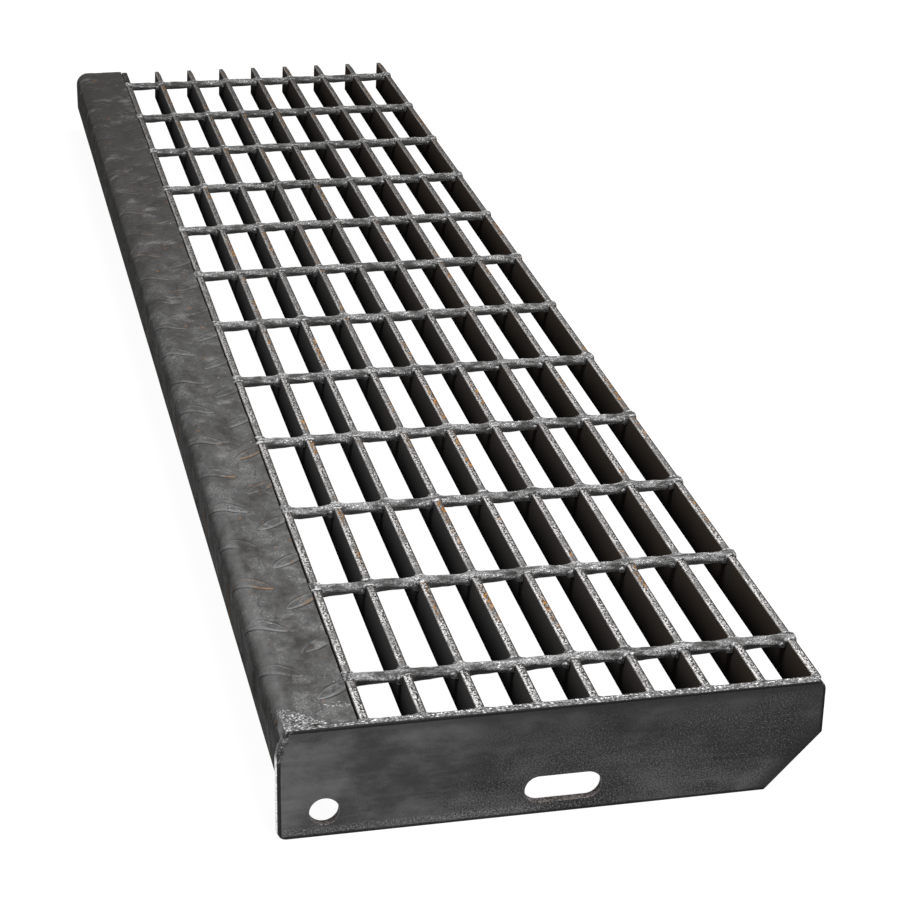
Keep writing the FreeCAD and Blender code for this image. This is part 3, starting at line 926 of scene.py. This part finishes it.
ridge_at = corner_top_run + nosing_bend * math.pi / 4
front_at = corner_top_run + nosing_bend * math.pi / 2
foot_at = front_at + corner_foot - nosing_bend
trim_lean = (corner_ridge + corner_rise) / trim_drop
thin_level = tread_top - corner_thins_drop * corner_foot
corner_stops = [
    (0.0, Vector((0, bend_y + corner_top_run, tread_top + corner_skim))),
    (ridge_at, Vector((0, front + corner_ridge, tread_top + corner_skim))),
    (front_at, Vector((0, front + corner_ridge - trim_lean * nosing_bend, bend_z))),
    (front_at + trim_drop - nosing_bend, Vector((0, front - corner_rise, tread_top - trim_drop))),
    (corner_thins_at * foot_at, Vector((0, front - corner_rise, thin_level))),
    (foot_at, Vector((0, front + corner_sink, tread_top - corner_foot))),
]
corner_mesh = bmesh.new()
bmesh.ops.create_grid(corner_mesh, x_segments=corner_columns, y_segments=corner_rows, size=0.5)
for vert in corner_mesh.verts:
    across = vert.co.x + 0.5
    distance = foot_at * (vert.co.y + 0.5)
    narrow = eased((distance - ridge_at) / (front_at - ridge_at))
    reach = corner_fill + (corner_half - corner_fill) * narrow
    x = -reach + across * (reach + corner_lap)
    on_skin, out = along_fold(distance)
    filled = eased((x + reach) / reach)
    lump = corner_lumps * noise.noise(Vector((x, distance, 0)) * corner_lump_scale) * narrow
    place = on_skin.lerp(along_weld(distance, corner_stops), filled)
    vert.co = place + out * (lump - corner_sink * (1 - filled)) + Vector((plate_face + x, 0, 0))
bmesh.ops.recalc_face_normals(corner_mesh, faces=corner_mesh.faces)
finished("corner_weld_looks", corner_mesh, weld_metal, "weld_metal", "corner_weld", smooth=35)

# Tack welds
# A dab of weld ties the nosing's lip and the first bar to the end of each rod. The dabs are lumpy and
# shiny, and beads of spatter from them and from the corner weld stick to the nosing around.
tack_radius = 0.0036
tack_rise = 0.0013
tack_setback = (0.0008, 0.0024)
tack_bulge = 0.35
tack_relief = 0.0010
spatter_per_tack = 4
spatter_spread = 0.009
spatter_start = 0.004
spatter_fall = 200
spatter_size = (0.0002, 0.0004)
spatter_near_plate = 34
plate_spatter_x = 0.5828
plate_spatter_spread = 0.0016
plate_spatter_rows = (-0.1180, -0.1040)
plate_spatter_size = (0.0002, 0.0005)


def tack_finish():
    finish = Finish("tack_weld_metal", specular=0.5)
    grain = finish.grain(420, detail=3)
    colour = finish.blend(finish.step(grain, 0.42, 0.62), (0.04, 0.04, 0.04), (0.42, 0.42, 0.42))
    return finish.end(colour, 0.42, 0.5, finish.bump(grain, tack_relief))


tacks = bmesh.new()
for rod_x in rod_middles:
    seat = Vector((rod_x, bar_front + draw.uniform(*tack_setback), tread_top))
    half_length = tack_radius * draw.uniform(0.8, 1.05)
    half_width = tack_radius * draw.uniform(0.6, 0.8)
    add_blob(tacks, seat, half_length, half_width, tack_rise, tack_bulge)
    for _ in range(spatter_per_tack):
        place_x = rod_x + draw.gauss(0, spatter_spread)
        place_y = bar_front - spatter_start - draw.expovariate(spatter_fall)
        place = Vector((place_x, place_y, tread_top))
        size = draw.uniform(*spatter_size)
        add_blob(tacks, place, size, size, size, 0.2)
for _ in range(spatter_near_plate):
    place_x = plate_spatter_x + draw.gauss(0, plate_spatter_spread)
    place = Vector((place_x, draw.uniform(*plate_spatter_rows), tread_top))
    size = draw.uniform(*plate_spatter_size)
    add_blob(tacks, place, size, 1.4 * size, 0.6 * size, 0.3)
finished("tack_welds_looks", tacks, tack_finish(), "weld_metal", "tack_welds", smooth=70)

# Floor, light and camera
# A plain white floor that keeps a faint shadow, soft light from above and from both sides, and a long lens.
floor_half = 6.0
floor_glow = 0.93
sky_glow = 0.20
camera_place = (1.66746, -0.30502, 0.70429)
camera_turn = (65.680, -1.106, 77.471)
camera_lens = 99.484
camera_sensor = 36.0

floor_mesh = bmesh.new()
bmesh.ops.create_grid(floor_mesh, x_segments=1, y_segments=1, size=floor_half)
bmesh.ops.translate(floor_mesh, verts=floor_mesh.verts, vec=(0, 0, cad_box[0].z))
floor_data = bpy.data.meshes.new("floor")
floor_mesh.to_mesh(floor_data)
floor_mesh.free()
floor = bpy.data.objects.new("floor", floor_data)
bpy.context.scene.collection.objects.link(floor)


def seen_or_reflected(shading):
    """1 for rays from the camera and for mirrored or refracted ones, 0 for light bouncing off the floor."""
    path = shading.tree.nodes.new("ShaderNodeLightPath")
    rays = [Tone(shading, path.outputs[f"Is {kind} Ray"]) for kind in ("Camera", "Glossy", "Transmission")]
    return rays[0].math("MINIMUM", rays[0] + rays[1] + rays[2], 1.0)


floor_material = bpy.data.materials.new("floor_white")
floor_material.use_nodes = True
floor_shading = Shading(floor_material.node_tree)
floor_shading.tree.nodes.clear()
glow = floor_shading.add("ShaderNodeEmission", None, {"Color": (1, 1, 1, 1), "Strength": floor_glow})
shade = floor_shading.add("ShaderNodeBsdfDiffuse", None, {"Color": (0.14, 0.14, 0.14, 1)})
white = floor_shading.add("ShaderNodeAddShader", None, {0: glow, 1: shade})
bounce = floor_shading.add("ShaderNodeBsdfDiffuse", None, {"Color": (0.12, 0.12, 0.12, 1)})
floor_seen = seen_or_reflected(floor_shading)
mixed = floor_shading.add("ShaderNodeMixShader", None, {0: floor_seen, 1: bounce, 2: white})
output = floor_shading.tree.nodes.new("ShaderNodeOutputMaterial")
floor_shading.feed(output, {"Surface": mixed})
floor.data.materials.append(floor_material)

world = bpy.data.worlds.new("soft_sky")
bpy.context.scene.world = world
world.use_nodes = True
sky = Shading(world.node_tree)
sky_seen = seen_or_reflected(sky)
sky_strength = sky_glow + (1 - sky_glow) * sky_seen
sky.feed(world.node_tree.nodes["Background"], {"Color": (1, 1, 1, 1), "Strength": sky_strength})


def lamp(name, place, aim, size, watts):
    """A round soft light that points at its aim."""
    data = bpy.data.lights.new(name, "AREA")
    data.shape = "DISK"
    data.size = size
    data.energy = watts
    light = bpy.data.objects.new(name, data)
    light.location = place
    light.rotation_euler = (Vector(aim) - Vector(place)).to_track_quat("-Z", "Y").to_euler()
    bpy.context.scene.collection.objects.link(light)


lamp("key_light", (0.9, 0.6, 2.2), (0.2, 0.0, 0.0), 1.4, 66)
lamp("left_light", (0.8, -1.6, 1.7), (0.2, 0.0, 0.0), 0.8, 14)
lamp("front_light", (2.6, 0.7, 0.9), (0.5, 0.0, 0.0), 1.0, 14)

camera_data = bpy.data.cameras.new("camera")
camera_data.lens = camera_lens
camera_data.sensor_width = camera_sensor
camera = bpy.data.objects.new("camera", camera_data)
camera.location = camera_place
camera.rotation_euler = [math.radians(angle) for angle in camera_turn]
bpy.context.scene.collection.objects.link(camera)
bpy.context.scene.camera = camera
bpy.context.scene.view_settings.view_transform = "Standard"
